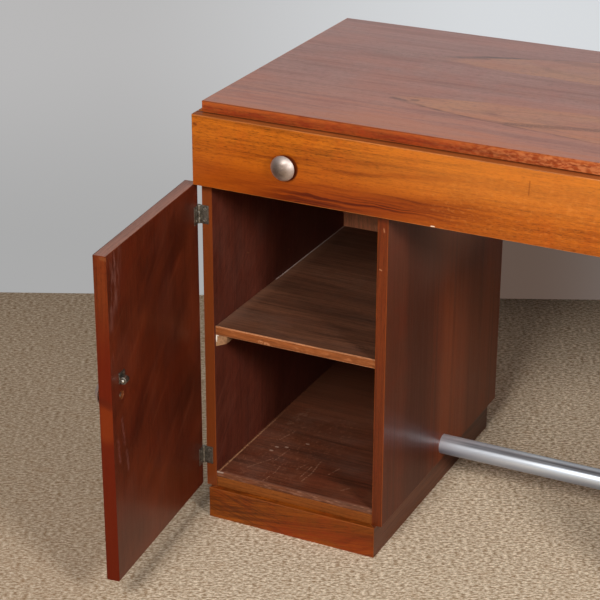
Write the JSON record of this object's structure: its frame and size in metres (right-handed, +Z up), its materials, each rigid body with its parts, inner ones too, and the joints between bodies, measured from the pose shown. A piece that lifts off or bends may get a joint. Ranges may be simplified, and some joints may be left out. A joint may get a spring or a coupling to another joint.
{
  "type": "desk",
  "caption": "Kneehole writing desk in wood: full-width belt drawer over two cupboard pedestals with hinged doors, shelves and a tube footrest between them.",
  "frame": {"origin": "middle of the base of the space the desk takes up, on the floor, with the left door standing open", "axes": "+X to the desk's right as its user faces it, +Y from the user to the back, +Z up"},
  "size_m": [1.2305, 0.886, 0.75],
  "materials": {
    "veneer": "red-brown veneer under semi-gloss varnish, worn at the edges",
    "bare_wood": "bare pale hardwood",
    "drawer_wood": "thinly varnished plain wood",
    "nickel": "satin nickel plate",
    "steel": "dull steel",
    "tube_metal": "satin"
  },
  "bodies": {
    "desk": {"belt_back": "veneer", "belt_bottom_panel": "veneer", "belt_front_rail": "veneer", "belt_left_side": "veneer", "belt_right_side": "veneer", "belt_top_rail": "veneer", "catch_strikes": "steel", "drawer_kickers": "bare_wood", "drawer_runners": "bare_wood", "drawer_stops": "bare_wood", "footrest_tube": "tube_metal", "frame_screws": "steel", "hinge_frame_leaves": "steel", "hinge_pins": "steel", "left_back_panel": "veneer", "left_floor_panel": "veneer", "left_floor_rail": "veneer", "left_inner_side": "veneer", "left_outer_side": "veneer", "left_plinth_back": "veneer", "left_plinth_front": "veneer", "left_plinth_sides": "veneer", "left_shelf": "veneer", "left_top_panel": "veneer", "right_back_panel": "veneer", "right_floor_panel": "veneer", "right_floor_rail": "veneer", "right_inner_side": "veneer", "right_outer_side": "veneer", "right_plinth_back": "veneer", "right_plinth_front": "veneer", "right_plinth_sides": "veneer", "right_shelf": "veneer", "right_top_panel": "veneer", "shelf_cleats": "bare_wood", "worktop": "veneer"},
    "drawer": {"drawer_back": "drawer_wood", "drawer_bottom": "drawer_wood", "drawer_front": "veneer", "drawer_knob_bolts": "steel", "drawer_knobs": "nickel", "drawer_left_side": "drawer_wood", "drawer_right_side": "drawer_wood"},
    "left_door": {"left_door_panel": "veneer", "left_door_fittings": "nickel", "left_door_screws": "steel"},
    "left_catch": {"left_catch_plunger": "steel"},
    "right_door": {"right_door_panel": "veneer", "right_door_fittings": "nickel", "right_door_screws": "steel"},
    "right_catch": {"right_catch_plunger": "steel"}
  },
  "joints": [
    {"name": "drawer_slide", "type": "slide", "parent": "desk", "child": "drawer", "axis": [0, -1, 0], "range_m": [0, 0.35]},
    {"name": "left_door_hinge", "type": "hinge", "parent": "desk", "child": "left_door", "pos_m": [-0.58998, -0.104, 0.334], "axis": [0, 0, -1], "range_deg": [-84.15, 95.85]},
    {"name": "right_door_hinge", "type": "hinge", "parent": "desk", "child": "right_door", "pos_m": [0.61502, -0.104, 0.334], "axis": [0, 0, 1], "range_deg": [0, 180]},
    {"name": "left_catch_press", "type": "slide", "parent": "left_door", "child": "left_catch", "axis": [-0.1019, 0.9948, 0], "range_m": [0, 0.002], "stiffness_N_per_m": 1500, "springref_m": -0.002},
    {"name": "right_catch_press", "type": "slide", "parent": "right_door", "child": "right_catch", "axis": [1, 0, 0], "range_m": [0, 0.002], "stiffness_N_per_m": 1500, "springref_m": -0.002}
  ]
}
